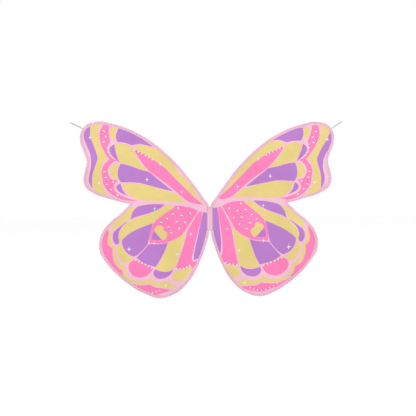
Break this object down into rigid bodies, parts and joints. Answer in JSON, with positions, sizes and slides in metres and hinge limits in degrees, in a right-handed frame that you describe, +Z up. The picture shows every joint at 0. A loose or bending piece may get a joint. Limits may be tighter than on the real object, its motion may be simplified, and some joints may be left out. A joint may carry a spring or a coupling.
{
  "type": "fairy wings",
  "caption": "Child's printed fairy wings on spring wire that fold like a book about a fabric spine, with a back cushion, elastic shoulder loops and finger loops.",
  "frame": {"origin": "middle of the cushion's flat back face, where the wings rest on the wearer", "axes": "+X to the object's right as seen from the printed show side, +Y towards the wearer, +Z up"},
  "size_m": [0.8314, 0.0525, 0.5311],
  "materials": {
    "printed_satin": "satin weave with a printed pattern of purple, yellow and pink cells",
    "lining_satin": "plain pale pink satin",
    "wadding": "white non-woven polyester wadding",
    "spring_wire": "drawn spring steel wire, bright",
    "ferrule": "crimped zinc-plated steel",
    "binding_satin": "pale pink satin bias binding with fine glitter",
    "thread": "twisted polyester sewing thread",
    "cushion_satin": "pale pink satin over a soft filling",
    "filling": "white fibre filling",
    "elastic_white": "braided round elastic, pale pink",
    "elastic_grey": "braided thin elastic cord, grey",
    "label": "blank white woven tape"
  },
  "bodies": {
    "spine": {"spine_tape": "binding_satin", "front_strip": "binding_satin", "front_stitches": "thread", "cushion_cover": "cushion_satin", "cushion_filling": "filling", "cushion_piping": "binding_satin"},
    "left_wing": {"left_show_panel": "printed_satin", "left_lining": "lining_satin", "left_fore_wadding": "wadding", "left_hind_wadding": "wadding", "left_fore_wire": "spring_wire", "left_hind_wire": "spring_wire", "left_fore_binding": "binding_satin", "left_hind_binding": "binding_satin", "left_wire_ferrules": "ferrule", "left_finger_tab": "binding_satin", "left_finger_tack": "thread", "left_finger_loop": "elastic_grey", "care_label": "label"},
    "left_strap": {"left_strap_tabs": "binding_satin", "left_strap": "elastic_white"},
    "right_wing": {"right_show_panel": "printed_satin", "right_lining": "lining_satin", "right_fore_wadding": "wadding", "right_hind_wadding": "wadding", "right_fore_wire": "spring_wire", "right_hind_wire": "spring_wire", "right_fore_binding": "binding_satin", "right_hind_binding": "binding_satin", "right_wire_ferrules": "ferrule", "right_finger_tab": "binding_satin", "right_finger_tack": "thread", "right_finger_loop": "elastic_grey"},
    "right_strap": {"right_strap_tabs": "binding_satin", "right_strap": "elastic_white"}
  },
  "joints": [
    {"name": "left_wing_fold", "type": "hinge", "parent": "spine", "child": "left_wing", "pos_m": [-0.0045, -0.018, 0], "axis": [0, 0, 1], "range_deg": [-18, 88]},
    {"name": "right_wing_fold", "type": "hinge", "parent": "spine", "child": "right_wing", "pos_m": [0.0045, -0.018, 0], "axis": [0, 0, -1], "range_deg": [-18, 88]},
    {"name": "left_strap_swing", "type": "hinge", "parent": "spine", "child": "left_strap", "pos_m": [-0.0203, -0.007, 0], "axis": [0, 0, -1], "range_deg": [-2, 66]},
    {"name": "right_strap_swing", "type": "hinge", "parent": "spine", "child": "right_strap", "pos_m": [0.0203, -0.007, 0], "axis": [0, 0, 1], "range_deg": [-2, 66]}
  ]
}
